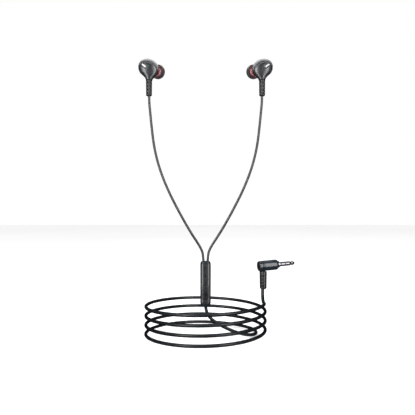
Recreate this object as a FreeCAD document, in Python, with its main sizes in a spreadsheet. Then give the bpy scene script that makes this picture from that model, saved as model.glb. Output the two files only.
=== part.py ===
import FreeCAD, Part
import math
import os
import re

import Sketcher
from FreeCAD import Placement, Rotation, Vector

# Wired in-ear earphones with an in-line remote and a right-angle jack plug.
# Frame: +Z up, -Y is the side that the remote's button faces, +X to the wearer's other side.
# The origin is midway between the two earbuds, where a wearer's head holds the part.
# Each right-hand earbud piece is the left-hand one mirrored through the plane X = 0.

DIMENSIONS = {
    # earbud housing: a round bulb that narrows to a neck below
    "bud_spacing_half": 47.1, "bulb_radius": 8.5, "bulb_front": 4.3, "bulb_back": 6.3,
    "bulb_set_back": 1.0, "bulb_rise": 1.6, "bulb_lift": 1.2, "bulb_slant": 1.4, "bulb_waist": 1.0,
    "flare_lean": 0.5,
    "neck_radius": 2.55, "neck_drop": 9.5, "neck_offset": 0.45, "shell_wall": 1.0, "neck_wall": 0.9,
    "trim_length": 6.2, "trim_width": 2.4, "trim_thickness": 0.7, "trim_proud": 0.12,
    "trim_left": 3.6, "trim_up": 2.6, "trim_slope": 38.0, "fit_gap": 0.04,
    # sound tube, leaning inwards by nozzle_yaw from straight back
    "nozzle_yaw": 33.0, "nozzle_radius": 2.2, "nozzle_bore": 1.5, "nozzle_length": 10.8,
    "nozzle_flange": 3.3, "flange_thickness": 0.7, "barb_rise": 0.4, "barb_length": 0.9, "barb_set_back": 1.3,
    "mesh_radius": 1.85, "mesh_thickness": 0.25, "boss_radius": 3.3, "boss_reach": 9.0, "boss_root": 6.2,
    # dynamic driver, all along the sound tube's axis
    "driver_start": -0.4, "driver_radius": 4.0, "driver_height": 2.6, "frame_wall": 0.95, "frame_rim": 0.4,
    "frame_seat": 2.0, "yoke_wall": 0.35, "yoke_floor": 0.5, "yoke_height": 1.7, "magnet_radius": 2.0,
    "plate_thickness": 0.35, "coil_bore": 2.2, "coil_wall": 0.3, "coil_low": 0.9, "cone_level": 2.2,
    "cone_thickness": 0.07, "cone_radius": 3.5, "dome_rise": 0.18, "cover_thickness": 0.2,
    "cover_hole": 0.45, "cover_holes": 6, "cover_hole_circle": 2.2, "cover_centre_hole": 1.0,
    # ear tip
    "tip_start": 9.3, "core_radius": 3.8, "core_clear": 0.05, "core_lip": 1.8, "core_lip_length": 0.8,
    "tip_radius": 6.1, "tip_wall": 0.6, "tip_dome_length": 5.2, "skirt_start": 11.3, "skirt_length": 1.4,
    # ribbed strain relief under each earbud and under the plug
    "relief_radius": 2.4, "relief_end_radius": 2.25, "relief_length": 12.7, "relief_spigot": 2.2,
    "relief_windows": 4, "window_height": 1.6, "window_pitch": 2.95, "window_top": 0.9, "spine_half": 0.5,
    "relief_rail": 0.4, "plug_relief_turn": 24.0,
    "plug_relief_radius": 2.9, "plug_relief_end": 2.75, "plug_relief_length": 14.4, "plug_spigot_radius": 2.7,
    # cords
    "ear_cord": 2.0, "main_cord": 2.7, "cord_clear": 0.06, "clamp_wall": 0.4, "clamp_length": 1.2,
    "coil_radius": 48.6, "coil_turns": 4, "coil_pitch": 7.38, "coil_top": -190.65,
    # remote
    "remote_top": -157.95, "remote_bottom": -195.4, "remote_radius": 4.35, "remote_half_depth": 3.0,
    "remote_round": 1.7, "remote_wall": 0.9, "grommet_height": 2.35, "ear_cord_offset": 1.75,
    "button_middle": -183.4, "button_radius": 2.3, "button_half": 3.6, "button_clear": 0.12,
    "button_proud": 0.25, "button_flange": 0.45, "flange_gap": 0.05, "button_travel": 0.25,
    "button_flange_thickness": 0.5, "post_radius": 0.9,
    "board_width": 5.8, "board_length": 26.0, "board_thickness": 0.6, "board_front": 0.4, "board_middle": -177.0,
    "post_pitch": 20.0, "board_post": 0.8, "switch_size": 3.0, "switch_height": 1.0,
    "plunger_radius": 0.7, "plunger_rise": 0.4, "plunger_depth": 0.2, "plunger_clear": 0.05,
    "mic_level": -170.6, "mic_radius": 1.6, "mic_hole": 0.5, "gasket_thickness": 0.5,
    # right-angle plug; its axis rises a little and turns away behind
    "plug_x": 47.3, "plug_level": -161.95, "plug_yaw": 14.5, "plug_rise": 3.7, "plug_radius": 4.2,
    "plug_back": 4.3, "plug_front": 12.8, "plug_edge": 0.8, "cap_wall": 0.6, "cap_thickness": 1.2,
    "groove_width": 0.35, "groove_depth": 0.25, "plug_groove": 4.4, "plug_wall": 1.8,
    "plug_relief_drop": 0.2, "socket_depth": 1.7, "collar_radius": 2.75, "collar_thickness": 0.9,
    "jack_radius": 1.75, "jack_rod": 0.5, "jack_length": 14.0, "jack_gap": 0.05, "ring_gap": 0.8,
    "sleeve_end": 1.2, "ring2_end": 4.9, "ring1_end": 8.9, "jack_neck": 1.15, "jack_tail": 2.0,
    "jack_step": 0.5,
}

doc = FreeCAD.newDocument("earphones")
sheet = doc.addObject("Spreadsheet::Sheet", "sizes")
for row, (alias, number) in enumerate(DIMENSIONS.items(), 1):
    sheet.set(f"A{row}", alias)
    sheet.set(f"B{row}", str(number))
    sheet.setAlias(f"B{row}", alias)
doc.recompute()

FULL_TURN = 360
X_WAYS, Y_WAYS, Z_WAYS = Vector(1, 0, 0), Vector(0, 1, 0), Vector(0, 0, 1)
pieces = []


def bound(text):
    """Point the names in an expression at the spreadsheet."""
    return re.sub(r"[a-z][a-z0-9_]+", r"sizes.\g<0>", text)


def size(text):
    """The value of an expression of spreadsheet names."""
    return float(sheet.evalExpression(bound(text)))


def keep(piece, name, placement=None):
    """Label a finished sub-part, place it and list it for writing."""
    piece.Label = name
    if placement is not None:
        piece.Placement = placement
    pieces.append(piece)
    return piece


def new_body(name):
    return doc.addObject("PartDesign::Body", name)


def new_sketch(body, name, role="XZ_Plane"):
    sketch = body.newObject("Sketcher::SketchObject", name)
    plane = [item for item in body.Origin.OriginFeatures if item.Role == role][0]
    sketch.AttachmentSupport = [(plane, "")]
    sketch.MapMode = "FlatFace"
    return sketch


def hold(sketch, kind, *where, text):
    """Add a dimension to a sketch and bind it to the spreadsheet."""
    index = sketch.addConstraint(Sketcher.Constraint(kind, *where, size(text)))
    sketch.setExpression(f"Constraints[{index}]", bound(text))


def draw_outline(sketch, outline):
    """Closed straight-sided outline; each corner is a pair of expressions."""
    first = sketch.GeometryCount
    corners = [Vector(size(across), size(along), 0) for across, along in outline]
    count = len(corners)
    for i in range(count):
        sketch.addGeometry(Part.LineSegment(corners[i], corners[(i + 1) % count]), False)
    for i in range(count):
        sketch.addConstraint(Sketcher.Constraint("Coincident", first + i, 2, first + (i + 1) % count, 1))
    for i, (across, along) in enumerate(outline):
        for kind, text, axis in (("DistanceX", across, -2), ("DistanceY", along, -1)):
            if text == "0":
                sketch.addConstraint(Sketcher.Constraint("PointOnObject", first + i, 1, axis))
            else:
                hold(sketch, kind, -1, 1, first + i, 1, text=text)


def draw_block(sketch, left, right, low, high):
    draw_outline(sketch, [(left, low), (right, low), (right, high), (left, high)])


def draw_circle(sketch, radius, across="0", along="0"):
    index = sketch.addGeometry(Part.Circle(Vector(size(across), size(along), 0), Z_WAYS, size(radius)), False)
    hold(sketch, "Radius", index, text=radius)
    for kind, text, axis in (("DistanceX", across, -2), ("DistanceY", along, -1)):
        if text == "0":
            sketch.addConstraint(Sketcher.Constraint("PointOnObject", index, 3, axis))
        else:
            hold(sketch, kind, -1, 1, index, 3, text=text)


def draw_stadium(sketch, radius, low, high):
    """Upright slot outline: two straight sides and two half circles, centred across the sketch."""
    r, bottom, top = size(radius), size(low) + size(radius), size(high) - size(radius)
    left, upper, right, lower = range(sketch.GeometryCount, sketch.GeometryCount + 4)
    sketch.addGeometry(Part.LineSegment(Vector(-r, bottom, 0), Vector(-r, top, 0)), False)
    for centre, start in ((top, 0.0), (bottom, math.pi)):
        circle = Part.Circle(Vector(0, centre, 0), Z_WAYS, r)
        sketch.addGeometry(Part.ArcOfCircle(circle, start, start + math.pi), False)
        if centre == top:
            sketch.addGeometry(Part.LineSegment(Vector(r, top, 0), Vector(r, bottom, 0)), False)
    for a, a_end, b, b_end in ((left, 2, upper, 2), (upper, 1, right, 1), (right, 2, lower, 2), (lower, 1, left, 1)):
        sketch.addConstraint(Sketcher.Constraint("Tangent", a, a_end, b, b_end))
    sketch.addConstraint(Sketcher.Constraint("Vertical", left))
    sketch.addConstraint(Sketcher.Constraint("Vertical", right))
    sketch.addConstraint(Sketcher.Constraint("PointOnObject", upper, 3, -2))
    hold(sketch, "Radius", upper, text=radius)
    hold(sketch, "DistanceY", -1, 1, upper, 3, text=f"{high} - ({radius})")
    hold(sketch, "DistanceY", -1, 1, lower, 3, text=f"{low} + {radius}")


def turned(name, outline):
    """Body made by turning an outline of (radius, height) about its Z axis."""
    body = new_body(name)
    sketch = new_sketch(body, name + "_outline")
    draw_outline(sketch, outline)
    turn = body.newObject("PartDesign::Revolution", name + "_turn")
    turn.Profile = sketch
    turn.ReferenceAxis = (sketch, ["V_Axis"])
    turn.Angle = FULL_TURN
    return body


def tube(name, inner, outer, low, high):
    return turned(name, [(inner, low), (outer, low), (outer, high), (inner, high)])


def add_pad(body, sketch, length, reverse=False, both=False):
    pad = body.newObject("PartDesign::Pad", sketch.Name + "_pad")
    pad.Profile = sketch
    pad.setExpression("Length", bound(length))
    pad.Reversed = reverse
    pad.Midplane = both
    return pad


def add_pocket(body, sketch, length="0", reverse=False, both=False):
    """Cut a sketch into the body; a length of 0 goes right through both ways."""
    before = body.Shape.Volume if not body.Shape.isNull() else 0
    pocket = body.newObject("PartDesign::Pocket", sketch.Name + "_pocket")
    pocket.Profile = sketch
    if length == "0":
        pocket.Type = 1
        pocket.Midplane = True
    else:
        pocket.setExpression("Length", bound(length))
        pocket.Reversed = reverse
        pocket.Midplane = both
    doc.recompute()
    if before and body.Shape.Volume >= before - 1e-6:
        raise RuntimeError(f"{sketch.Name} cuts nothing")
    return pocket


def add_row(body, cut, count, pitch):
    """Repeat a cut downwards at an even pitch."""
    row_of_cuts = body.newObject("PartDesign::LinearPattern", cut.Name + "_row")
    row_of_cuts.Originals = [cut]
    row_of_cuts.Direction = (cut.Profile[0], ["V_Axis"])
    row_of_cuts.Reversed = True
    row_of_cuts.setExpression("Occurrences", bound(count))
    row_of_cuts.setExpression("Length", bound(f"({count} - 1) * {pitch}"))
    body.Tip = row_of_cuts
    return row_of_cuts


def made(name, shape, placement=None):
    """A sub-part whose shape comes straight from Part's own functions."""
    feature = doc.addObject("Part::Feature", name)
    feature.Shape = shape
    return keep(feature, name, placement)


# ---------------------------------------------------------------- places

BUD = Vector(-size("bud_spacing_half"), 0, 0)
NECK = BUD + Vector(size("neck_offset"), 0, -size("neck_drop"))
TUBE_WAYS = Vector(math.sin(math.radians(size("nozzle_yaw"))), math.cos(math.radians(size("nozzle_yaw"))), 0)
TUBE_TURN = Rotation(Z_WAYS, TUBE_WAYS)
TUBE_ROOT = BUD + Vector(0, size("bulb_set_back"), size("bulb_lift"))


def along_tube(distance):
    """Placement whose Z axis runs out along the left sound tube, that far from the bulb's middle."""
    return Placement(TUBE_ROOT + TUBE_WAYS * size(distance), TUBE_TURN)


# ---------------------------------------------------------------- earbud housing

def bulb_section(height_angle, inset):
    """Level section of the bulb: height, middle, half width, front depth, back depth and widest plane."""
    rise = math.sin(math.radians(height_angle))
    spread = math.cos(math.radians(height_angle))
    return {
        "level": size("bulb_lift") + (size("bulb_radius") - inset) * rise,
        "middle": -size("bulb_slant") * rise,
        "half_width": (size("bulb_radius") - inset) * spread,
        "front": (size("bulb_front") - inset) * spread,
        "back": (size("bulb_back") - inset) * spread,
        "plane": size("bulb_set_back") + size("bulb_rise") * rise,
    }


def neck_section(inset):
    radius = size("neck_radius") - inset
    return {"level": -size("neck_drop"), "middle": size("neck_offset"), "half_width": radius,
            "front": radius, "back": radius, "plane": 0.0}


def blend(low, high, share):
    """Section part of the way from low to high, easing in and out so that the flare is smooth."""
    eased = share * share * (3 - 2 * share)
    mixed = {key: low[key] + (high[key] - low[key]) * eased for key in low}
    mixed["level"] = low["level"] + (high["level"] - low["level"]) * share
    mixed["middle"] += size("flare_lean") * math.sin(math.pi * share) ** 2
    return mixed


def half_oval(section, depth, start):
    """Half an ellipse as one rational spline, so that every section lofts to the next."""
    arc = Part.ArcOfCircle(Part.Circle(Vector(0, 0, 0), Z_WAYS, 1), start, start + math.pi).toBSpline()
    for index, pole in enumerate(arc.getPoles(), 1):
        x = section["middle"] + pole.x * section["half_width"]
        arc.setPole(index, Vector(x, section["plane"] + pole.y * depth, section["level"]))
    return arc.toShape()


def section_wire(section):
    return Part.Wire([half_oval(section, section["back"], 0), half_oval(section, section["front"], math.pi)])


def housing_solid(wall, neck_wall):
    """The housing's outside for no wall, or its hollow for the wall's thickness."""
    waist = bulb_section(-math.degrees(math.asin(size("(bulb_waist + bulb_lift) / bulb_radius"))), wall)
    sections = [blend(neck_section(neck_wall), waist, share) for share in (0, 0.25, 0.5, 0.75)]
    sections += [waist] + [bulb_section(angle, wall) for angle in (8, 26, 43, 58, 71)]
    top = bulb_section(90, wall)
    wires = [section_wire(section) for section in sections]
    wires.append(Part.Vertex(top["middle"], top["plane"], top["level"]))
    return Part.makeLoft(wires, True, False)


def face_depth(x, level):
    """How far the bulb's front face lies from the seam at a place on it."""
    section = bulb_section(math.degrees(math.asin((level - size("bulb_lift")) / size("bulb_radius"))), 0)
    reach = 1 - ((x - section["middle"]) / section["half_width"]) ** 2
    return section["plane"] - section["front"] * math.sqrt(reach)


def trim_placement():
    """Placement of the trim plate: Z out of the face, X along the plate's slope."""
    x, level, step = -size("trim_left"), size("trim_up"), 0.05
    slope_x = (face_depth(x + step, level) - face_depth(x - step, level)) / (2 * step)
    slope_z = (face_depth(x, level + step) - face_depth(x, level - step)) / (2 * step)
    normal = Vector(slope_x, -1, slope_z).normalize()
    down = math.radians(size("trim_slope"))
    run = Vector(math.cos(down), 0, -math.sin(down))
    run = (run - normal * run.dot(normal)).normalize()
    side = normal.cross(run)
    place = Vector(x, face_depth(x, level), level) + normal * size("trim_proud")
    return Placement(place, Rotation(run, side, normal, "ZXY"))


def trim_solid(grow):
    """Oval plate whose outer face is at Z = 0, grown all round by a clearance."""
    radius = size("trim_width") / 2 + grow
    offset = size("trim_length - trim_width") / 2
    depth = size("trim_thickness") + grow
    solid = Part.makeBox(2 * offset, 2 * radius, depth + 1, Vector(-offset, -radius, -depth))
    for side in (-1, 1):
        solid = solid.fuse(Part.makeCylinder(radius, depth + 1, Vector(side * offset, 0, -depth)))
    return solid.removeSplitter()


REACH = 40.0


def half_space(front):
    """A large block in front of or behind the seam between the two shells."""
    return Part.makeBox(2 * REACH, REACH, 2 * REACH, Vector(-REACH, -REACH if front else 0, -REACH))


outside = housing_solid(0, 0)
hollow = housing_solid(size("shell_wall"), size("neck_wall"))
tube_place = Placement(TUBE_ROOT - BUD, TUBE_TURN)


def along_hole(radius, low, high):
    cylinder = Part.makeCylinder(radius, high - low, Vector(0, 0, low))
    cylinder.Placement = tube_place
    return cylinder


neck_bore = Part.makeCylinder(size("neck_radius - neck_wall + fit_gap / 2"), size("relief_spigot + clamp_length * 2"),
                              NECK - BUD)
plate_cut = trim_solid(size("fit_gap"))
plate_cut.Placement = trim_placement()
outer_shell = outside.common(half_space(True)).cut(hollow).cut(neck_bore).cut(plate_cut)
boss = along_hole(size("boss_radius"), size("boss_root"), size("boss_reach"))
inner_shell = outside.common(half_space(False)).fuse(boss).cut(hollow).cut(neck_bore)
inner_shell = inner_shell.cut(along_hole(size("nozzle_radius + fit_gap"), 0, size("boss_reach") + 1))
trim = trim_solid(0).common(Part.makeBox(REACH, REACH, size("trim_thickness") + 1,
                                         Vector(-REACH / 2, -REACH / 2, -size("trim_thickness") - 1)))
made("left_outer_shell", outer_shell, Placement(BUD, Rotation()))
made("left_inner_shell", inner_shell, Placement(BUD, Rotation()))
trim_world = trim_placement()
trim_world.Base = trim_world.Base + BUD
made("left_trim_plate", trim, trim_world)

# ---------------------------------------------------------------- driver, sound tube and ear tip

DRIVER = along_tube("driver_start")

frame_bore = "driver_radius - frame_wall"
rim_bore = "driver_radius - frame_rim"
keep(turned("left_driver_frame", [
    (frame_bore, "yoke_floor"), ("driver_radius", "yoke_floor"), ("driver_radius", "driver_height"),
    (rim_bore, "driver_height"), (rim_bore, "frame_seat"), (frame_bore, "frame_seat")]),
    "left_driver_frame", DRIVER)

yoke_radius = "driver_radius - frame_wall - fit_gap"
yoke_bore = "driver_radius - frame_wall - fit_gap - yoke_wall"
keep(turned("left_driver_yoke", [
    ("0", "0"), (yoke_radius, "0"), (yoke_radius, "yoke_height"), (yoke_bore, "yoke_height"),
    (yoke_bore, "yoke_floor"), ("0", "yoke_floor")]), "left_driver_yoke", DRIVER)

plate_low = "yoke_height - plate_thickness"
for part_name, low, high in (("left_driver_magnet", "yoke_floor", plate_low),
                             ("left_driver_plate", plate_low, "yoke_height")):
    keep(turned(part_name, [("0", low), ("magnet_radius", low), ("magnet_radius", high), ("0", high)]),
         part_name, DRIVER)

keep(tube("left_voice_coil", "coil_bore", "coil_bore + coil_wall", "coil_low", "cone_level"),
     "left_voice_coil", DRIVER)

cone_top = "cone_level + cone_thickness"
keep(turned("left_diaphragm", [
    ("0", "cone_level + dome_rise"), ("coil_bore * 0.6", "cone_level + dome_rise * 0.7"),
    ("coil_bore", "cone_level"), ("cone_radius", "cone_level"), ("cone_radius", cone_top),
    ("coil_bore", cone_top), ("coil_bore * 0.6", f"{cone_top} + dome_rise * 0.7"),
    ("0", f"{cone_top} + dome_rise")]), "left_diaphragm", DRIVER)

cover = tube("left_driver_cover", "cover_centre_hole", "driver_radius", "driver_height",
             "driver_height + cover_thickness")
cover_sketch = new_sketch(cover, "cover_hole_sketch", "XY_Plane")
draw_circle(cover_sketch, "cover_hole", "cover_hole_circle")
cover_cut = add_pocket(cover, cover_sketch)
cover_ring = cover.newObject("PartDesign::PolarPattern", "cover_hole_ring")
cover_ring.Originals = [cover_cut]
cover_ring.Axis = (cover_sketch, ["N_Axis"])
cover_ring.Angle = FULL_TURN
cover_ring.setExpression("Occurrences", bound("cover_holes"))
cover.Tip = cover_ring
keep(cover, "left_driver_cover", DRIVER)

tube_back = "driver_start + driver_height + cover_thickness"
barb_end = "nozzle_length - barb_set_back"
keep(turned("left_nozzle", [
    ("nozzle_bore", "0"), ("nozzle_flange", "0"), ("nozzle_flange", "flange_thickness"),
    ("nozzle_radius", "flange_thickness"), ("nozzle_radius", f"{barb_end} - barb_length"),
    ("nozzle_radius + barb_rise", f"{barb_end} - barb_length"), ("nozzle_radius", barb_end),
    ("nozzle_radius", "nozzle_length"), ("mesh_radius + fit_gap", "nozzle_length"),
    ("mesh_radius + fit_gap", "nozzle_length - mesh_thickness * 2"),
    ("nozzle_bore", "nozzle_length - mesh_thickness * 2")]), "left_nozzle", along_tube(tube_back))

mesh = turned("left_nozzle_mesh", [
    ("0", "0"), ("mesh_radius", "0"), ("mesh_radius", "mesh_thickness"), ("0", "mesh_thickness")])
keep(mesh, "left_nozzle_mesh", along_tube(f"{tube_back} + nozzle_length - mesh_thickness * 2"))

core_bore = "nozzle_radius + barb_rise + core_clear"
dome_base = "skirt_start + skirt_length"
core_end = f"{dome_base} + tip_dome_length * 0.85"
keep(turned("left_tip_core", [
    (core_bore, "tip_start"), ("core_radius", "tip_start"), ("core_radius", core_end), ("core_lip", core_end),
    ("core_lip", f"{core_end} - core_lip_length"), (core_bore, f"{core_end} - core_lip_length")]),
    "left_tip_core", along_tube("0"))

dome_shell = doc.addObject("Part::Ellipsoid", "dome_outside")
dome_hollow = doc.addObject("Part::Ellipsoid", "dome_inside")
for ellipsoid, wall in ((dome_shell, "0"), (dome_hollow, "tip_wall")):
    ellipsoid.setExpression("Radius1", bound(f"tip_dome_length - {wall}"))
    ellipsoid.setExpression("Radius2", bound(f"tip_radius - {wall}"))
    ellipsoid.setExpression("Radius3", bound(f"tip_radius - {wall}"))
    ellipsoid.Angle1 = 0
    ellipsoid.setExpression("Placement.Base.z", bound(dome_base))
skirt = doc.addObject("Part::Cylinder", "dome_skirt")
skirt_hollow = doc.addObject("Part::Cylinder", "dome_skirt_hollow")
for cylinder, wall in ((skirt, "0"), (skirt_hollow, "tip_wall")):
    cylinder.setExpression("Radius", bound(f"tip_radius - {wall}"))
    cylinder.setExpression("Height", bound("skirt_length"))
    cylinder.setExpression("Placement.Base.z", bound("skirt_start"))
core_hole = doc.addObject("Part::Cylinder", "dome_core_hole")
core_hole.setExpression("Radius", bound("core_radius + fit_gap"))
core_hole.setExpression("Height", bound("skirt_start + tip_dome_length * 3"))
dome_solid = doc.addObject("Part::MultiFuse", "dome_solid")
dome_solid.Shapes = [dome_shell, skirt]
dome_void = doc.addObject("Part::MultiFuse", "dome_void")
dome_void.Shapes = [dome_hollow, skirt_hollow, core_hole]
dome = doc.addObject("Part::Cut", "left_tip_dome")
dome.Base = dome_solid
dome.Tool = dome_void
keep(dome, "left_tip_dome", along_tube("0"))

# ---------------------------------------------------------------- strain reliefs and cord clamps


def strain_relief(name, top, end, length, cord, spigot, spigot_radius):
    """Hanging sleeve with a spigot on top and ladders of flexing windows down it; Z = 0 is its shoulder."""
    bore = f"{cord} / 2 + cord_clear"
    body = turned(name, [
        (bore, f"-{length}"), (f"{end} * 0.8", f"-{length}"), (end, f"-{length} + {end} * 0.3"), (top, "0"),
        (spigot_radius, "0"), (spigot_radius, spigot), (bore, spigot)])
    window = new_sketch(body, name + "_window")
    for side in ("", "-"):
        near, far = f"{side}spine_half", f"{side}({end} - relief_rail)"
        draw_block(window, near, far, "-window_top - window_height", "-window_top")
    doc.recompute()
    cut = add_pocket(body, window)
    add_row(body, cut, "relief_windows", "window_pitch")
    return body


keep(strain_relief("left_strain_relief", "relief_radius", "relief_end_radius", "relief_length", "ear_cord",
                   "relief_spigot", "neck_radius - neck_wall - fit_gap"),
     "left_strain_relief", Placement(NECK, Rotation()))
clamp_bore = "ear_cord / 2 + fit_gap"
keep(tube("left_cord_clamp", clamp_bore, f"{clamp_bore} + clamp_wall", "relief_spigot",
          "relief_spigot + clamp_length"), "left_cord_clamp", Placement(NECK, Rotation()))

# ---------------------------------------------------------------- right earbud

for left_piece in list(pieces):
    right_name = left_piece.Label.replace("left_", "right_")
    mirror = doc.addObject("Part::Mirroring", right_name)
    mirror.Source = left_piece
    mirror.Base = Vector(0, 0, 0)
    mirror.Normal = X_WAYS
    keep(mirror, right_name)

# ---------------------------------------------------------------- remote

shell_top = "remote_top - grommet_height"
shell_low = "remote_bottom + grommet_height"


def remote_blank(name, back, front):
    """Rounded capsule between the seam and the front, the back, or both."""
    body = new_body(name)
    outline = new_sketch(body, name + "_outline")
    draw_stadium(outline, "remote_radius", "remote_bottom", "remote_top")
    if back and front:
        pad = add_pad(body, outline, "remote_half_depth * 2", both=True)
    else:
        pad = add_pad(body, outline, "remote_half_depth", reverse=back)
    doc.recompute()
    edges = []
    for number, edge in enumerate(pad.Shape.Edges, 1):
        level = edge.BoundBox.YMin
        flat = edge.BoundBox.YLength < 1e-6
        if flat and abs(abs(level) - size("remote_half_depth")) < 1e-6:
            edges.append(f"Edge{number}")
    fillet = body.newObject("PartDesign::Fillet", name + "_round")
    fillet.Base = (pad, edges)
    fillet.setExpression("Radius", bound("remote_round"))
    doc.recompute()
    return body


def trim_ends(body, name):
    """Leave out the two round ends, which are the grommets."""
    ends = new_sketch(body, name + "_ends")
    for low, high in (("remote_bottom - 1", shell_low), (shell_top, "remote_top + 1")):
        draw_block(ends, "-remote_radius * 1.2", "remote_radius * 1.2", low, high)
    return add_pocket(body, ends)


def hollow_out(body, name, reverse):
    cavity = new_sketch(body, name + "_cavity")
    draw_stadium(cavity, "remote_radius - remote_wall", "remote_bottom + remote_wall", "remote_top - remote_wall")
    return add_pocket(body, cavity, "remote_half_depth - remote_wall", reverse=reverse)


front_shell = remote_blank("remote_front_shell", False, True)
trim_ends(front_shell, "front")
hollow_out(front_shell, "front", True)
openings = new_sketch(front_shell, "front_openings")
draw_stadium(openings, "button_radius + button_clear", "button_middle - button_half - button_radius - button_clear",
             "button_middle + button_half + button_radius + button_clear")
draw_circle(openings, "mic_hole", "0", "mic_level")
add_pocket(front_shell, openings)
keep(front_shell, "remote_front_shell")

back_shell = remote_blank("remote_back_shell", True, False)
trim_ends(back_shell, "back")
hollow_out(back_shell, "back", False)
posts = new_sketch(back_shell, "board_posts")
for side in ("+", "-"):
    draw_circle(posts, "board_post", "0", f"board_middle {side} post_pitch / 2")
post_pad = add_pad(back_shell, posts, "remote_half_depth - remote_wall / 2", reverse=True)
doc.recompute()
clear_posts = new_sketch(back_shell, "board_seat")
draw_block(clear_posts, "-board_width / 2", "board_width / 2", "board_middle - board_length / 2",
           "board_middle + board_length / 2")
add_pocket(back_shell, clear_posts, "board_front + board_thickness")
keep(back_shell, "remote_back_shell")


def grommet(name, low, high, cord, offsets):
    """Round end of the capsule with a bore for each cord."""
    body = remote_blank(name, True, True)
    rest = new_sketch(body, name + "_rest")
    draw_block(rest, "-remote_radius * 1.2", "remote_radius * 1.2", low, high)
    add_pocket(body, rest)
    bores = new_sketch(body, name + "_bores", "XY_Plane")
    for offset in offsets:
        draw_circle(bores, f"{cord} / 2 + cord_clear", offset)
    add_pocket(body, bores)
    keep(body, name)


grommet("top_grommet", "remote_bottom - 1", shell_top, "ear_cord", ("-ear_cord_offset", "ear_cord_offset"))
grommet("bottom_grommet", shell_low, "remote_top + 1", "main_cord", ("0",))

# Pieces inside the remote are turned or padded about the Y axis, which runs front to back.
FRONT_TO_BACK = Rotation(Z_WAYS, Y_WAYS)


def facing(level):
    """Placement whose Z axis runs from the front of the remote to its back."""
    return Placement(Vector(0, 0, size(level)), FRONT_TO_BACK)


button_back = "remote_half_depth - remote_wall - flange_gap - button_flange_thickness"
switch_face = "board_front - switch_height"
button = new_body("remote_button")
cap_sketch = new_sketch(button, "button_cap")
draw_stadium(cap_sketch, "button_radius", "button_middle - button_half - button_radius",
             "button_middle + button_half + button_radius")
add_pad(button, cap_sketch, "remote_half_depth + button_proud")
flange_sketch = new_sketch(button, "button_flange")
draw_stadium(flange_sketch, "button_radius + button_flange",
             "button_middle - button_half - button_radius - button_flange",
             "button_middle + button_half + button_radius + button_flange")
add_pad(button, flange_sketch, "remote_half_depth - remote_wall - flange_gap")
doc.recompute()
back_cut = new_sketch(button, "button_back_cut")
draw_block(back_cut, "-remote_radius", "remote_radius", "button_middle - button_half * 3",
           "button_middle + button_half * 3")
add_pocket(button, back_cut, button_back, reverse=True)
post_sketch = new_sketch(button, "button_post")
draw_circle(post_sketch, "post_radius", "0", "button_middle")
post = add_pad(button, post_sketch, f"{button_back} + button_flange_thickness / 2")
doc.recompute()
post_cut = new_sketch(button, "button_post_cut")
draw_circle(post_cut, "post_radius * 1.2", "0", "button_middle")
add_pocket(button, post_cut, f"plunger_rise - ({switch_face})", reverse=True)
keep(button, "remote_button")

board = new_body("circuit_board")
board_sketch = new_sketch(board, "board_outline")
draw_block(board_sketch, "-board_width / 2", "board_width / 2", "board_middle - board_length / 2",
           "board_middle + board_length / 2")
add_pad(board, board_sketch, "board_thickness", reverse=True)
keep(board, "circuit_board", Placement(Vector(0, size("board_front"), 0), Rotation()))

switch = new_body("switch_body")
switch_sketch = new_sketch(switch, "switch_outline")
half_switch = "switch_size / 2"
draw_block(switch_sketch, f"-{half_switch}", half_switch, f"-{half_switch}", half_switch)
add_pad(switch, switch_sketch, "switch_height")
doc.recompute()
well = new_sketch(switch, "switch_well")
draw_circle(well, "plunger_radius + plunger_clear")
add_pocket(switch, well)
keep(switch, "switch_body", Placement(Vector(0, size("board_front"), size("button_middle")), Rotation()))

keep(turned("switch_plunger", [
    ("0", f"{switch_face} - plunger_rise"), ("plunger_radius", f"{switch_face} - plunger_rise"),
    ("plunger_radius", f"{switch_face} + plunger_depth"), ("0", f"{switch_face} + plunger_depth")]),
    "switch_plunger", facing("button_middle"))

mic_front = "remote_wall + gasket_thickness - remote_half_depth"
keep(turned("microphone", [
    ("0", mic_front), ("mic_radius", mic_front), ("mic_radius", "board_front"), ("0", "board_front")]),
    "microphone", facing("mic_level"))
keep(tube("mic_gasket", "mic_hole * 1.4", "mic_radius", "remote_wall - remote_half_depth", mic_front),
     "mic_gasket", facing("mic_level"))

# ---------------------------------------------------------------- plug

plug_yaw = math.radians(size("plug_yaw"))
plug_rise = math.radians(size("plug_rise"))
PLUG_WAYS = Vector(math.cos(plug_rise) * math.cos(plug_yaw), math.cos(plug_rise) * math.sin(plug_yaw),
                   math.sin(plug_rise))
PLUG_PLACE = Placement(Vector(size("plug_x"), 0, size("plug_level")), Rotation(Z_WAYS, PLUG_WAYS))
PLUG_CORD = Vector(size("plug_x"), 0, size("plug_level - plug_radius - plug_relief_drop"))

plug_core_radius = "plug_radius - plug_wall"
cap_radius = "plug_radius - cap_wall"
core_bore_plug = f"{plug_core_radius} + fit_gap"
plug_body = turned("plug_body", [
    (core_bore_plug, "cap_thickness - plug_back"), (f"{cap_radius} + fit_gap", "cap_thickness - plug_back"),
    (f"{cap_radius} + fit_gap", "-plug_back"), ("plug_radius - plug_edge / 3", "-plug_back"),
    ("plug_radius", "plug_edge / 2 - plug_back"), ("plug_radius", "plug_groove - groove_width"),
    ("plug_radius - groove_depth", "plug_groove - groove_width"), ("plug_radius - groove_depth", "plug_groove"),
    ("plug_radius", "plug_groove"), ("plug_radius", "plug_front - plug_edge * 2"),
    ("plug_radius - plug_edge / 2", "plug_front - plug_edge * 0.7"), ("plug_radius - plug_edge * 1.6", "plug_front"),
    (core_bore_plug, "plug_front")])
doc.recompute()
socket = Part.makeCylinder(size("plug_spigot_radius + fit_gap"), REACH,
                           PLUG_CORD + Vector(0, 0, size("socket_depth") - REACH))
plug_shape = plug_body.Shape.copy()
plug_shape.Placement = PLUG_PLACE
doc.removeObject(plug_body.Name)
plug_cut = plug_shape.cut(socket)
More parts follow.
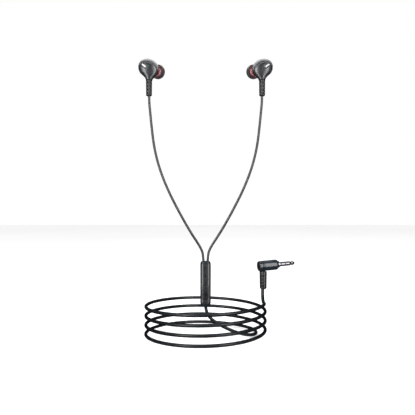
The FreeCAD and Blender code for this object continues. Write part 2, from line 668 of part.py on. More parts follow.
cord_hole = Part.makeCylinder(size("main_cord / 2 + cord_clear"), REACH, PLUG_CORD - Vector(0, 0, REACH - size("socket_depth")))
made("plug_body", plug_cut.cut(cord_hole))

keep(turned("plug_end_cap", [
    ("0", "-plug_back"), (f"{cap_radius} - plug_edge / 3", "-plug_back"), (cap_radius, "plug_edge / 3 - plug_back"),
    (cap_radius, "cap_thickness - plug_back"), ("0", "cap_thickness - plug_back")]), "plug_end_cap", PLUG_PLACE)

tail_start = "plug_front + collar_thickness - jack_tail"
tail_bore = "jack_radius - jack_step + jack_gap"
keep(turned("plug_core", [
    ("0", "cap_thickness - plug_back"), (plug_core_radius, "cap_thickness - plug_back"),
    (plug_core_radius, "plug_front"), (tail_bore, "plug_front"), (tail_bore, tail_start), ("0", tail_start)]),
    "plug_core", PLUG_PLACE)

keep(tube("plug_collar", tail_bore, "collar_radius", "plug_front", "plug_front + collar_thickness"),
     "plug_collar", PLUG_PLACE)

JACK_PLACE = Placement(PLUG_PLACE.Base + PLUG_WAYS * size("plug_front + collar_thickness"), PLUG_PLACE.Rotation)
contact_bore = "jack_rod + jack_gap"
keep(turned("sleeve_contact", [
    (contact_bore, "-jack_tail"), ("jack_radius - jack_step", "-jack_tail"), ("jack_radius - jack_step", "0"),
    ("jack_radius", "0"), ("jack_radius", "sleeve_end"), (contact_bore, "sleeve_end")]),
    "sleeve_contact", JACK_PLACE)
for part_name, low, high in (("ring2_contact", "sleeve_end + ring_gap", "ring2_end"),
                             ("ring1_contact", "ring2_end + ring_gap", "ring1_end")):
    keep(tube(part_name, contact_bore, "jack_radius", low, high), part_name, JACK_PLACE)
tip_low = "ring1_end + ring_gap"
keep(turned("tip_contact", [
    ("0", "-jack_tail"), ("jack_rod", "-jack_tail"), ("jack_rod", tip_low), ("jack_radius", tip_low),
    ("jack_neck", f"{tip_low} + jack_radius * 0.7"), ("jack_radius", f"{tip_low} + jack_radius * 1.2"),
    ("jack_neck", "jack_length - jack_radius * 0.35"), ("jack_rod", "jack_length"), ("0", "jack_length")]),
    "tip_contact", JACK_PLACE)
rings = [Part.makeCylinder(size("jack_radius"), size("ring_gap"), Vector(0, 0, size(low))).cut(
    Part.makeCylinder(size(contact_bore), REACH)) for low in ("sleeve_end", "ring2_end", "ring1_end")]
made("contact_insulators", Part.makeCompound(rings), JACK_PLACE)

keep(strain_relief("plug_strain_relief", "plug_relief_radius", "plug_relief_end", "plug_relief_length",
                   "main_cord", "socket_depth", "plug_spigot_radius"),
     "plug_strain_relief", Placement(PLUG_CORD, Rotation(Z_WAYS, size("plug_relief_turn"))))

# ---------------------------------------------------------------- cords


def cord_path(points, name):
    """Straight runs joined by tangent arcs, each arc as large as its two runs allow."""
    edges = []
    start = points[0]
    for before, corner, after in zip(points, points[1:], points[2:]):
        way_in = (corner - before).normalize()
        way_out = (after - corner).normalize()
        turn = way_in.getAngle(way_out)
        shorter = min((corner - before).Length, (after - corner).Length)
        trim_back = 0.45 * shorter
        radius = trim_back / math.tan(turn / 2)
        print(f"{name}: turn {math.degrees(turn):.1f} radius {radius:.1f}")
        arc_start = corner - way_in * trim_back
        arc_end = corner + way_out * trim_back
        to_middle = (way_out - way_in).normalize()
        middle = corner + to_middle * (radius / math.cos(turn / 2) - radius)
        edges.append(Part.LineSegment(start, arc_start).toShape())
        edges.append(Part.Arc(arc_start, middle, arc_end).toShape())
        start = arc_end
    edges.append(Part.LineSegment(start, points[-1]).toShape())
    return Part.Wire(edges)


def cord_tube(name, points, diameter):
    path = cord_path(points, name)
    radius = size(diameter) / 2
    section = Part.Wire([Part.Circle(points[0], points[1] - points[0], radius).toShape()])
    solid = path.makePipeShell([section], True, False)
    expected = math.pi * radius * radius * path.Length
    print(f"{name}: length {path.Length:.1f}, volume {solid.Volume:.2f}, section times length {expected:.2f}")
    if abs(solid.Volume / expected - 1) > 0.01:
        raise RuntimeError(f"{name} has the wrong volume")
    made(name, solid)


neck_inside = NECK.z + size("relief_spigot + clamp_length + 0.4")
remote_inside = size("remote_top - grommet_height - 0.6")
left_route = [
    Vector(NECK.x, 0, neck_inside), Vector(NECK.x, 0, -25.6), Vector(-45.8, 0, -34.0),
    Vector(-44.5, 0, -47.5), Vector(-42.4, 0, -64.5), Vector(-38.2, 0, -81.5), Vector(-31.1, 0, -99.5),
    Vector(-22.2, 0, -117.0), Vector(-12.6, 0, -134.0), Vector(-3.6, 0, -147.4),
    Vector(-size("ear_cord_offset"), 0, -153.8), Vector(-size("ear_cord_offset"), 0, remote_inside)]
cord_tube("left_cord", left_route, "ear_cord")
cord_tube("right_cord", [Vector(-point.x, point.y, point.z) for point in left_route], "ear_cord")

coil_low_face = "coil_top - coil_turns * coil_pitch - main_cord / 2"
keep(tube("main_cord_coil", "coil_radius - main_cord / 2", "coil_radius + main_cord / 2", coil_low_face,
          "coil_top + main_cord / 2"), "main_cord_coil")

tail_route = [
    Vector(0, 0, size("remote_bottom + grommet_height + 0.6")), Vector(0, 0, -198.4), Vector(4.0, 0, -205.4),
    Vector(13.5, 0, -211.4), Vector(25.0, 0.4, -216.6), Vector(36.0, 3.2, -219.6), Vector(43.4, 11.5, -220.0),
    Vector(42.6, 21.4, -219.6)]
cord_tube("main_cord_tail", tail_route, "main_cord")

lead_route = [
    Vector(45.4, -14.6, -190.9), Vector(47.9, -6.4, -190.6), Vector(size("plug_x"), 0, -185.0),
    Vector(size("plug_x"), 0, -169.0)]
cord_tube("main_cord_lead", lead_route, "main_cord")

# ---------------------------------------------------------------- check and write

doc.recompute()
for item in doc.Objects:
    if "Invalid" in item.State or "Error" in item.State:
        raise RuntimeError(f"{item.Label} did not build: {item.State}")
os.makedirs("parts", exist_ok=True)
for piece in pieces:
    if piece.Shape.isNull() or not piece.Shape.isValid() or not piece.Shape.Solids:
        raise RuntimeError(f"{piece.Label} has no valid solid")
    piece.Shape.exportStep(os.path.join("parts", piece.Label + ".step"))
print(len(pieces), "sub-parts written")
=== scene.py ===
import math

import bmesh
import bpy
from mathutils import Euler, Matrix, Vector


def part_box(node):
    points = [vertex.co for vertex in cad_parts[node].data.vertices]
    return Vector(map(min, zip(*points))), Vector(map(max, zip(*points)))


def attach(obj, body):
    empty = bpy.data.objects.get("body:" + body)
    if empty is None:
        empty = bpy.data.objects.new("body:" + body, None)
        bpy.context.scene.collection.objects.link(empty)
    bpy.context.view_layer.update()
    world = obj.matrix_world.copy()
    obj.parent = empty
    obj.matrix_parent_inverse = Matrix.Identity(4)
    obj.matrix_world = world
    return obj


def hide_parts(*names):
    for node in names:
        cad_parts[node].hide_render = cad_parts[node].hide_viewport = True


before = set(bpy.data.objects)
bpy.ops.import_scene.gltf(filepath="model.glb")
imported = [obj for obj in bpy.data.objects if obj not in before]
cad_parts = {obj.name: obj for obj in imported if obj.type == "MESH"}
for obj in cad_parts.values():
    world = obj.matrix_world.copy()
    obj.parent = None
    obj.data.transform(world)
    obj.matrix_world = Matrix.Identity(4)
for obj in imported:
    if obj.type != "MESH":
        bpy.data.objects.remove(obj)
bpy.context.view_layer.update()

MM = 0.001
scene = bpy.context.scene


def mm(x, y, z):
    return Vector((x, y, z)) * MM


# ---------------------------------------------------------------- camera

IMAGE_SIDE = 415
FOCAL_PIXELS = 490.0
SENSOR_WIDTH = 36.0
PITCH_UP = 0.71
camera_data = bpy.data.cameras.new("camera")
camera_data.sensor_width = SENSOR_WIDTH
camera_data.lens = SENSOR_WIDTH * FOCAL_PIXELS / IMAGE_SIDE
camera_data.clip_start = 0.01
camera = bpy.data.objects.new("camera", camera_data)
camera.location = mm(1.6, -403.0, -119.0)
camera.rotation_euler = Euler((math.radians(90.0 + PITCH_UP), 0, 0))
scene.collection.objects.link(camera)
scene.camera = camera

# ---------------------------------------------------------------- cords

EAR_CORD = 2.0
MAIN_CORD = 2.7
COIL_RADIUS = 48.6
COIL_PITCH = 7.38
COIL_TOP = -190.65
COIL_TURNS = 4
COIL_POINTS = 24
COIL_STEPS = 94
LEFT_ROUTE = [
    (-46.65, 0, -5.7), (-46.65, 0, -25.6), (-45.8, 0, -34.0), (-44.5, 0, -47.5), (-42.4, 0, -64.5),
    (-38.2, 0, -81.5), (-31.1, 0, -99.5), (-22.2, 0, -117.0), (-12.6, 0, -134.0), (-3.6, 0, -147.4),
    (-1.75, 0, -153.8), (-1.75, 0, -160.9)]
TAIL_ROUTE = [
    (0, 0, -192.45), (0, 0, -198.4), (4.0, 0, -205.4), (13.5, 0, -211.4), (25.0, 0.4, -216.6),
    (36.0, 3.2, -219.6), (43.4, 11.5, -220.0)]
LEAD_ROUTE = [(46.4, -6.4, -190.6), (46.7, 0, -184.6), (47.3, 0, -169.0)]


def coil_point(turns):
    """A control point of the coil, a little outside the line so that the spline has the coil's radius."""
    reach = COIL_RADIUS / math.cos(math.pi / COIL_POINTS)
    angle = math.tau * turns
    return (reach * math.cos(angle), -reach * math.sin(angle), COIL_TOP - COIL_PITCH * turns)


def cord(name, points, diameter):
    """Round cord along a route in millimetres; the small radius of its points keeps its bounds right."""
    data = bpy.data.curves.new(name, "CURVE")
    data.dimensions = "3D"
    data.bevel_depth = diameter / 2
    data.bevel_resolution = 8
    data.resolution_u = 10
    data.use_fill_caps = True
    spline = data.splines.new("NURBS")
    spline.points.add(len(points) - 1)
    for point, place in zip(spline.points, points):
        point.co = (*mm(*place), 1)
        point.radius = MM
    spline.order_u = 3
    spline.use_endpoint_u = True
    piece = bpy.data.objects.new(name, data)
    scene.collection.objects.link(piece)
    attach(piece, "root")
    return piece


left_cord = cord("left_ear_cord", LEFT_ROUTE, EAR_CORD)
right_cord = cord("right_ear_cord", [(-x, y, z) for x, y, z in LEFT_ROUTE], EAR_CORD)
coil_points = [coil_point(step / COIL_POINTS) for step in range(COIL_STEPS, 0, -1)]
main_cord = cord("main_cord", TAIL_ROUTE + coil_points + LEAD_ROUTE, MAIN_CORD)
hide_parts("left_cord")
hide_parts("right_cord")
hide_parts("main_cord_tail", "main_cord_coil", "main_cord_lead")

# ---------------------------------------------------------------- materials

SHARP_EDGE = math.radians(38)


def link(tree, source, output, target, input_name):
    tree.links.new(source.outputs[output], target.inputs[input_name])


def mapping(tree, turn=(0, 0, 0), scale=(1, 1, 1)):
    """The object's own coordinates in millimetres, turned and stretched."""
    coordinates = tree.nodes.new("ShaderNodeTexCoord")
    mapped = tree.nodes.new("ShaderNodeMapping")
    mapped.inputs["Rotation"].default_value = turn
    mapped.inputs["Scale"].default_value = [part / MM for part in scale]
    link(tree, coordinates, "Object", mapped, "Vector")
    return mapped


def noise(tree, coordinates, size, detail=3.0):
    node = tree.nodes.new("ShaderNodeTexNoise")
    node.inputs["Scale"].default_value = 1 / size
    node.inputs["Detail"].default_value = detail
    link(tree, coordinates, "Vector", node, "Vector")
    return node


def spread(tree, source, output, low, high, start=0.3, end=0.7):
    node = tree.nodes.new("ShaderNodeMapRange")
    for name, number in (("From Min", start), ("From Max", end), ("To Min", low), ("To Max", high)):
        node.inputs[name].default_value = number
    link(tree, source, output, node, "Value")
    return node


def blend_colours(tree, source, output, first, second, start=0.35, end=0.65):
    ramp = tree.nodes.new("ShaderNodeValToRGB")
    ramp.color_ramp.elements[0].position = start
    ramp.color_ramp.elements[1].position = end
    ramp.color_ramp.elements[0].color = (*first, 1)
    ramp.color_ramp.elements[1].color = (*second, 1)
    link(tree, source, output, ramp, "Fac")
    return ramp


def finish(name, first, second, rough, grain=0.25, patch=3.0, bump=0.004, turn=(0, 0, 0), stretch=(1, 1, 1),
           **fixed):
    """Moulded or drawn surface: colour and roughness drift in patches, and a fine grain is raised."""
    made = bpy.data.materials.new(name)
    made.use_nodes = True
    tree = made.node_tree
    shader = tree.nodes["Principled BSDF"]
    broad = noise(tree, mapping(tree), patch)
    fine = noise(tree, mapping(tree, turn, stretch), grain, 2.0)
    link(tree, blend_colours(tree, broad, "Fac", first, second), "Color", shader, "Base Color")
    link(tree, spread(tree, broad, "Fac", *rough), "Result", shader, "Roughness")
    raised = tree.nodes.new("ShaderNodeBump")
    raised.inputs["Strength"].default_value = 0.6
    raised.inputs["Distance"].default_value = bump * MM
    link(tree, fine, "Fac", raised, "Height")
    link(tree, raised, "Normal", shader, "Normal")
    for socket, number in fixed.items():
        shader.inputs[socket.replace("_", " ")].default_value = number
    return made


def painted_shade_round(made, place, reach, share):
    """Paint shade into a finish: darken it softly round a place, out to a reach along each axis."""
    tree = made.node_tree
    coordinates = tree.nodes.new("ShaderNodeTexCoord")
    mapped = tree.nodes.new("ShaderNodeMapping")
    mapped.inputs["Scale"].default_value = [1 / part / MM for part in reach]
    mapped.inputs["Location"].default_value = [-part / size for part, size in zip(place, reach)]
    ball = tree.nodes.new("ShaderNodeTexGradient")
    ball.gradient_type = "SPHERICAL"
    link(tree, coordinates, "Object", mapped, "Vector")
    link(tree, mapped, "Vector", ball, "Vector")
    kept = spread(tree, ball, "Fac", 1.0, share, 0.1, 0.8)
    dimmed = tree.nodes.new("ShaderNodeVectorMath")
    dimmed.operation = "SCALE"
    shader = tree.nodes["Principled BSDF"]
    tree.links.new(shader.inputs["Base Color"].links[0].from_socket, dimmed.inputs[0])
    link(tree, kept, "Result", dimmed, "Scale")
    link(tree, dimmed, "Vector", shader, "Base Color")


def grey(level, tint=0.0):
    return (level, level * (1 + tint / 2), level * (1 + tint))


housing = finish("satin_graphite", grey(0.010, 0.25), grey(0.014, 0.25), (0.28, 0.36), 0.16, 2.5, 0.0025,
                 Specular_IOR_Level=0.6)
# Painted light: the ear-side shell is a lighter grey than the face so that its top band reads as lit from
# above.
ear_side = finish("satin_ear_side", grey(0.035, 0.15), grey(0.045, 0.15), (0.30, 0.42), 0.16, 2.5, 0.0025,
                  Specular_IOR_Level=0.7)
PLUG_YAW = math.radians(-14.5)
TRIM_SLOPE = math.radians(38)
DIMPLE_LEVEL = -185.7
trim_metal = finish("brushed_trim", grey(0.13, 0.03), grey(0.18, 0.03), (0.26, 0.34), 0.05, 1.2, 0.0012,
                    (0, -TRIM_SLOPE, 0), (0.05, 1, 1), Metallic=1.0)
relief_rubber = finish("relief_rubber", grey(0.007, 0.15), grey(0.010, 0.15), (0.30, 0.40), 0.09, 1.5, 0.003,
                       Specular_IOR_Level=0.5)
soft_rubber = finish("grommet_rubber", grey(0.004, 1.2), grey(0.006, 1.2), (0.34, 0.44), 0.09, 1.5, 0.003,
                     Specular_IOR_Level=0.3)
cord_skin = finish("cord_skin", grey(0.006, 0.5), grey(0.009, 0.5), (0.26, 0.36), 0.35, 6.0, 0.004,
                   (0, 0, 0), (1, 1, 0.3), Specular_IOR_Level=0.6)
main_skin = finish("main_cord_skin", grey(0.004, 0.6), grey(0.006, 0.6), (0.34, 0.44), 0.35, 6.0, 0.004,
                   (0, 0, 0), (1, 1, 0.3), Specular_IOR_Level=0.25)
plug_gloss = finish("plug_gloss", grey(0.006, 0.9), grey(0.010, 0.9), (0.18, 0.26), 0.3, 3.0, 0.0012,
                    Specular_IOR_Level=0.35)
cap_gloss = finish("plug_cap", grey(0.008, 0.4), grey(0.012, 0.4), (0.24, 0.34), 0.2, 2.0, 0.002)
remote_satin = finish("remote_satin", grey(0.006, 0.25), grey(0.009, 0.25), (0.33, 0.42), 0.14, 3.0, 0.002,
                      Specular_IOR_Level=0.75)
button_satin = finish("button_satin", grey(0.007, 0.25), grey(0.010, 0.25), (0.30, 0.40), 0.12, 2.0, 0.003)
# Painted shade: the talk button's finish is darkened round its thumb dimple.
painted_shade_round(button_satin, (0, -3.0, DIMPLE_LEVEL), (2.6, 2.6, 4.2), 0.15)
jack_metal = finish("turned_metal", (0.09, 0.087, 0.094), (0.12, 0.116, 0.124), (0.18, 0.28), 0.04, 1.0,
                    0.0012, (0, 0, PLUG_YAW), (1, 0.06, 0.06), Metallic=1.0)
insulator = finish("insulator", grey(0.006, 0.5), grey(0.010, 0.5), (0.3, 0.4), 0.08, 0.8, 0.002)
inner_plastic = finish("inner_plastic", grey(0.03), grey(0.045), (0.4, 0.55), 0.15, 2.0, 0.004)
steel = finish("pressed_steel", grey(0.42), grey(0.55), (0.25, 0.38), 0.08, 1.0, 0.002, Metallic=1.0)
magnet = finish("plated_magnet", (0.50, 0.49, 0.46), (0.62, 0.61, 0.57), (0.22, 0.34), 0.1, 0.8, 0.002,
                Metallic=1.0)
copper = finish("coil_copper", (0.70, 0.26, 0.11), (0.85, 0.36, 0.16), (0.28, 0.4), 0.06, 0.8, 0.004,
                (0, 0, 0), (0.2, 0.2, 1), Metallic=1.0)
film = finish("cone_film", (0.55, 0.50, 0.40), (0.66, 0.61, 0.50), (0.3, 0.42), 0.3, 1.0, 0.004,
              Transmission_Weight=0.3)
mesh_cloth = finish("woven_mesh", grey(0.10), grey(0.25), (0.4, 0.55), 0.09, 0.4, 0.02, Metallic=0.8)
board_green = finish("board_green", (0.010, 0.060, 0.025), (0.016, 0.090, 0.036), (0.3, 0.45), 0.2, 0.7,
                     0.006)
switch_metal = finish("switch_metal", grey(0.45), grey(0.6), (0.25, 0.4), 0.1, 0.6, 0.002, Metallic=1.0)
core_red = finish("core_silicone", (0.24, 0.004, 0.006), (0.30, 0.008, 0.010), (0.34, 0.46), 0.12, 1.5,
                  0.003)
dome_grey = finish("dome_silicone", (0.022, 0.021, 0.024), (0.030, 0.028, 0.031), (0.36, 0.46), 0.12, 2.0,
                   0.003, Specular_IOR_Level=0.4)
dome_inside = finish("dome_inside", (0.30, 0.18, 0.19), (0.36, 0.215, 0.225), (0.45, 0.6), 0.12, 2.0, 0.003)

CAD_FINISHES = {
    "outer_shell": housing, "inner_shell": ear_side, "trim_plate": trim_metal, "driver_frame": inner_plastic,
    "driver_yoke": steel, "driver_magnet": magnet, "driver_plate": steel, "voice_coil": copper,
    "diaphragm": film, "driver_cover": steel, "nozzle": inner_plastic, "nozzle_mesh": mesh_cloth,
    "tip_core": core_red, "tip_dome": dome_grey, "strain_relief": relief_rubber, "cord_clamp": inner_plastic,
    "cord": cord_skin, "remote_front_shell": remote_satin, "remote_back_shell": remote_satin,
    "remote_button": button_satin, "circuit_board": board_green, "switch_body": switch_metal,
    "switch_plunger": inner_plastic, "microphone": soft_rubber, "mic_gasket": soft_rubber,
    "top_grommet": soft_rubber, "bottom_grommet": soft_rubber, "plug_body": plug_gloss,
    "plug_end_cap": cap_gloss, "plug_core": inner_plastic, "plug_collar": jack_metal,
    "sleeve_contact": jack_metal, "ring2_contact": jack_metal, "ring1_contact": jack_metal,
    "tip_contact": jack_metal, "contact_insulators": insulator, "plug_strain_relief": relief_rubber,
    "main_cord_tail": main_skin, "main_cord_coil": main_skin, "main_cord_lead": main_skin,
}
for node_name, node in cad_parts.items():
    chosen = CAD_FINISHES[node_name.removeprefix("left_").removeprefix("right_")]
    if not node.material_slots:
        node.data.materials.append(None)
    for material_slot in node.material_slots:
        material_slot.material = chosen
for cord_piece, skin in ((left_cord, cord_skin), (right_cord, cord_skin), (main_cord, main_skin)):
    cord_piece.data.materials.append(skin)

# ---------------------------------------------------------------- building meshes


def piece_from(name, rings, body, materials, nodes, mirrored=False, closed=False, second_rows=()):
    """Closed mesh over rings of points; the ends close with a fan, or the last ring joins the first."""
    build = bmesh.new()
    side = -1 if mirrored else 1
    made_rings = [[build.verts.new((point[0] * side * MM, point[1] * MM, point[2] * MM)) for point in ring]
                  for ring in rings]
    count = len(made_rings[0])
    pairs = list(zip(made_rings, made_rings[1:]))
    if closed:
        pairs.append((made_rings[-1], made_rings[0]))
    for row, (low, high) in enumerate(pairs):
        for i in range(count):
            j = (i + 1) % count
            face = build.faces.new((low[i], low[j], high[j], high[i]))
            face.material_index = 1 if row in second_rows else 0
    if not closed:
        for ring in (made_rings[0], made_rings[-1]):
            middle = build.verts.new(sum((vert.co for vert in ring), Vector()) / count)
            for i in range(count):
                build.faces.new((ring[i], ring[(i + 1) % count], middle))
    return finished(build, name, body, materials, nodes)


def finished(build, name, body, materials, nodes):
    """The piece itself: outward faces, smooth but for sharp edges, with its finish and what it stands for."""
    bmesh.ops.recalc_face_normals(build, faces=build.faces)
    data = bpy.data.meshes.new(name)
    build.to_mesh(data)
    build.free()
    data.shade_smooth()
    data.set_sharp_from_angle(angle=SHARP_EDGE)
    for item in materials:
        data.materials.append(item)
    piece = bpy.data.objects.new(name, data)
    scene.collection.objects.link(piece)
    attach(piece, body)
    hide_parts(*nodes)
    return piece


def softened(corners, steps=5):
    """Turn (radius, height, rounding) corners of a closed outline into points with rounded corners."""
    points = []
    count = len(corners)
    for i, (r, z, rounding) in enumerate(corners):
        here = Vector((r, z))
        if rounding == 0:
            points.append(here)
            continue
        back = (Vector(corners[i - 1][:2]) - here)
        ahead = (Vector(corners[(i + 1) % count][:2]) - here)
        start = here + back.normalized() * min(rounding, back.length * 0.49)
        end = here + ahead.normalized() * min(rounding, ahead.length * 0.49)
        for step in range(steps + 1):
            t = step / steps
            points.append(start * (1 - t) ** 2 + here * (2 * t * (1 - t)) + end * t ** 2)
    return points


def lathe_rings(outline, place, count=96):
    """Rings of points round the Z axis of a placement, one for each (radius, height) of the outline."""
    angles = [math.tau * i / count for i in range(count)]
    return [[place @ Vector((r * math.cos(angle), r * math.sin(angle), z)) for angle in angles]
            for r, z in outline]


def axis_place(root, ways):
    return Matrix.Translation(Vector(root)) @ Vector(ways).to_track_quat("Z", "Y").to_matrix().to_4x4()


def ease(value, low, high):
    t = min(max((value - low) / (high - low), 0.0), 1.0)
    return t * t * (3 - 2 * t)


# ---------------------------------------------------------------- earbud housings

BUD = Vector((-47.1, 0, 0))
BULB_RADIUS, BULB_FRONT, BULB_BACK = 8.5, 4.3, 6.3
BULB_SET_BACK, BULB_RISE, BULB_LIFT, BULB_SLANT, BULB_WAIST = 1.0, 1.6, 1.2, 1.4, 1.0
NECK_RADIUS, NECK_DROP, NECK_OFFSET, FLARE_LEAN = 2.55, 9.5, 0.45, 0.5
TUBE_WAYS = Vector((0.544639, 0.838671, 0))
TUBE_ROOT = BUD + Vector((0, BULB_SET_BACK, BULB_LIFT))
TUBE_PLACE = axis_place(TUBE_ROOT, TUBE_WAYS)


def bulb_part(rise):
    rise = min(max(rise, -0.99999), 0.99999)
    wide = math.sqrt(1 - rise * rise)
    return [-BULB_SLANT * rise, BULB_RADIUS * wide, BULB_FRONT * wide, BULB_BACK * wide,
            BULB_SET_BACK + BULB_RISE * rise]


def housing_part(level):
    """Middle, half width, front depth, back depth and widest plane of the housing at a level."""
    if level >= -BULB_WAIST:
        return bulb_part((level - BULB_LIFT) / BULB_RADIUS)
    share = (level + NECK_DROP) / (NECK_DROP - BULB_WAIST)
    eased = share * share * (3 - 2 * share)
    waist = bulb_part(-(BULB_WAIST + BULB_LIFT) / BULB_RADIUS)
    neck = [NECK_OFFSET, NECK_RADIUS, NECK_RADIUS, NECK_RADIUS, 0.0]
    mixed = [low + (high - low) * eased for low, high in zip(neck, waist)]
    mixed[0] += FLARE_LEAN * math.sin(math.pi * share) ** 2
    return mixed


def face_depth(x, level):
    middle, half_width, front, back, plane = housing_part(level)
    across = min(abs(x - middle) / half_width, FACE_REACH)
    return plane - front * math.sqrt(1 - across * across)


def face_normal(x, level, step=0.04):
    slope_x = (face_depth(x + step, level) - face_depth(x - step, level)) / (2 * step)
    slope_z = (face_depth(x, level + step) - face_depth(x, level - step)) / (2 * step)
    return Vector((slope_x, -1, slope_z)).normalized()


FACE_REACH = 0.985
FACE_EDGE = [
    (-8.45, 1.6), (-7.9, 3.6), (-6.5, 5.3), (-4.6, 6.5), (-2.4, 6.85), (0.6, 6.3), (3.4, 4.9), (5.8, 2.8),
    (7.6, 0.4), (8.35, -1.5), (7.8, -3.4), (6.4, -5.2), (4.75, -6.8), (3.45, -8.2), (2.95, -9.35),
    (0.5, -9.45), (-2.05, -9.35), (-1.95, -8.5), (-2.8, -7.0), (-4.3, -5.3), (-6.1, -3.6), (-7.6, -1.4),
    (-8.35, 0.3)]
FACE_COLUMNS = 240


def smooth_edge(corners, count):
    """Evenly spaced points on a smooth closed curve through the corners."""
    dense = []
    total = len(corners)
    for i in range(total):
        a, b, c, d = (Vector(corners[(i + k) % total]) for k in (-1, 0, 1, 2))
        for step in range(24):
            t = step / 24
            dense.append(0.5 * (2 * b + (c - a) * t + (2 * a - 5 * b + 4 * c - d) * t ** 2
                                + (3 * b - a - 3 * c + d) * t ** 3))
    lengths = [0.0]
    for a, b in zip(dense, dense[1:] + dense[:1]):
        lengths.append(lengths[-1] + (b - a).length)
    evened, place = [], 0
    for i in range(count):
        target = lengths[-1] * i / count
        while lengths[place + 1] < target:
            place += 1
        share = (target - lengths[place]) / (lengths[place + 1] - lengths[place])
        evened.append(dense[place].lerp(dense[(place + 1) % len(dense)], share))
    return evened


FACE_OUTLINE = smooth_edge(FACE_EDGE, FACE_COLUMNS)
FACE_CENTRE = Vector((0.3, 0.2))
TRIM_LENGTH, TRIM_WIDTH = 6.2, 2.4
TRIM_OFFSET = (TRIM_LENGTH - TRIM_WIDTH) / 2
POCKET_SHIFT, POCKET_BEFORE, POCKET_PAST = 0.35, 0.1, 0.7
trim_low, trim_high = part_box("left_trim_plate")
TRIM_CENTRE = Vector((
    (trim_low[0] + trim_high[0]) / 2 / MM - BUD.x, (trim_low[2] + trim_high[2]) / 2 / MM))
TRIM_RUN = Vector((math.cos(TRIM_SLOPE), -math.sin(TRIM_SLOPE)))


def trim_gap(x, level):
    """Distance outside the outline of the trim plate's pocket, or less than nothing inside it."""
    away = Vector((x, level)) - TRIM_CENTRE - TRIM_RUN * POCKET_SHIFT
    along = min(max(away.dot(TRIM_RUN), -TRIM_OFFSET - POCKET_BEFORE), TRIM_OFFSET + POCKET_PAST)
    return (away - TRIM_RUN * along).length - TRIM_WIDTH / 2


RIM_ROUND, RIM_NARROW, RIM_WIDENING = 0.3, 0.7, 0.75
EDGE_DROP, RAISED_HEIGHT, POCKET_DEPTH = 0.55, 0.34, 0.45


def face_height(distance, x, level):
    """How far the face stands out: rounded edge, sloping rim, raised middle and a pocket for the trim."""
    rim = RIM_NARROW + RIM_WIDENING * ease(level, -8.0, -3.0)
    edge = -EDGE_DROP * (1 - ease(distance, 0.0, RIM_ROUND)) ** 2
    raised = RAISED_HEIGHT * ease(distance, rim - 0.35, rim + 0.25)
    pocket = -POCKET_DEPTH * (1 - ease(trim_gap(x, level), 0.1, 0.5))
    return edge + raised + pocket


FACE_STEPS = [0.0, 0.08, 0.16, 0.25, 0.35, 0.5, 0.65, 0.8, 0.95, 1.1, 1.2, 1.3, 1.4, 1.5, 1.6, 1.7, 1.85]
FACE_THICKNESS = 0.7
FACE_MIDDLE = 2.0
FACE_INNER_STEPS = 44


def face_rings():
    """Rings from the middle of the face out to its edge, then back along the inside."""
    outside, inside = [], []
    for ring in range(FACE_INNER_STEPS + len(FACE_STEPS)):
        points, under = [], []
        for corner in FACE_OUTLINE:
            radius = (corner - FACE_CENTRE).length
            if ring < FACE_INNER_STEPS:
                distance = radius - (radius - FACE_MIDDLE) * (ring + 0.5) / FACE_INNER_STEPS
            else:
                distance = FACE_STEPS[FACE_INNER_STEPS - 1 - ring] * min(1.0, radius / 4)
            spot = corner + (FACE_CENTRE - corner) * (distance / radius)
            normal = face_normal(spot.x, spot.y)
            base = BUD + Vector((spot.x, face_depth(spot.x, spot.y), spot.y))
            points.append(base + normal * face_height(distance, spot.x, spot.y))
            under.append(base - normal * FACE_THICKNESS)
        outside.append(points)
        if ring % 4 == 0 or ring >= FACE_INNER_STEPS:
            inside.append(under)
    return outside + inside[::-1]


def outline_distance(x, level):
    """Distance inside the face's edge, or less than nothing outside it."""
    nearest, inside = 1e9, False
    for i in range(0, FACE_COLUMNS, 2):
        ax, az = FACE_OUTLINE[i]
        bx, bz = FACE_OUTLINE[(i + 2) % FACE_COLUMNS]
        run_x, run_z = bx - ax, bz - az
        t = min(max(((x - ax) * run_x + (level - az) * run_z) / (run_x ** 2 + run_z ** 2), 0), 1)
        nearest = min(nearest, math.hypot(x - ax - run_x * t, level - az - run_z * t))
        if (az > level) != (bz > level) and x < ax + (level - az) / run_z * run_x:
            inside = not inside
    return nearest if inside else -nearest


SHELL_COLUMNS, SHELL_LEVELS = 200, 150
SHELL_WALL = 0.5
SHELL_STEP = 0.75


def shell_rings():
    """Level rings of the ear-side shell, from the neck to the top; under the face it steps inwards."""
    top = BULB_LIFT + BULB_RADIUS
    levels = [-NECK_DROP + (top + NECK_DROP) * (1 - math.cos(math.pi * i / SHELL_LEVELS)) / 2
              for i in range(SHELL_LEVELS)]
    levels = [level for level in levels if level < top - 0.02]
    rings = []
    for level in levels:
        middle, half_width, front, back, plane = housing_part(level)
        ring = []
        for i in range(SHELL_COLUMNS):
            angle = math.tau * i / SHELL_COLUMNS
            depth = front if math.sin(angle) < 0 else back
            x, y = middle + half_width * math.cos(angle), plane + depth * math.sin(angle)
            inward = 0.0
            if math.sin(angle) < 0.1:
                inward = SHELL_STEP * ease(outline_distance(x, level), -0.4, 0.45)
            out = Vector((math.cos(angle) / half_width, math.sin(angle) / depth, 0)).normalized()
            ring.append(BUD + Vector((x, y, level)) - out * inward)
        rings.append(ring)
    return rings


TRIM_STEPS = [(0.15, 0.2), (0.4, 0.19), (0.65, 0.16), (0.8, 0.11), (0.9, 0.04), (0.96, -0.05), (1.0, -0.18),
              (1.0, -0.5)]
TRIM_COLUMNS = 96
TRIM_STANDS_OUT = 0.16


